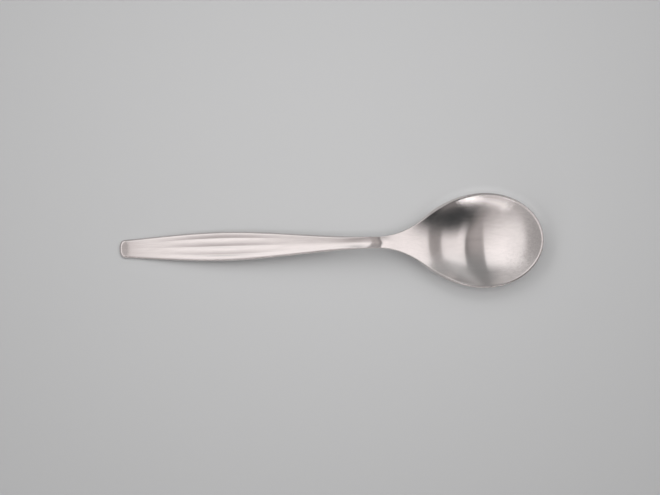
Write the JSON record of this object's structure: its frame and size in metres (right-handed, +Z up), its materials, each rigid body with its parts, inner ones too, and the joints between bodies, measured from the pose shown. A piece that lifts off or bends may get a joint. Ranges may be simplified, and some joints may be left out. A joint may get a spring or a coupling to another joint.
{
  "type": "teaspoon",
  "caption": "Satin-brushed steel teaspoon with a hollowed, fluted handle that narrows to a slim neck and an egg-shaped bowl, for stirring and spooning.",
  "frame": {"origin": "centre of the bounding box's bottom, on the table that the spoon lies on", "axes": "+X along the spoon towards the tip of the bowl, +Z up out of the bowl"},
  "size_m": [0.1356, 0.0304, 0.0116],
  "materials": {
    "steel": "satin, brushed along the length"
  },
  "bodies": {
    "root": {"teaspoon": "steel"}
  },
  "joints": []
}
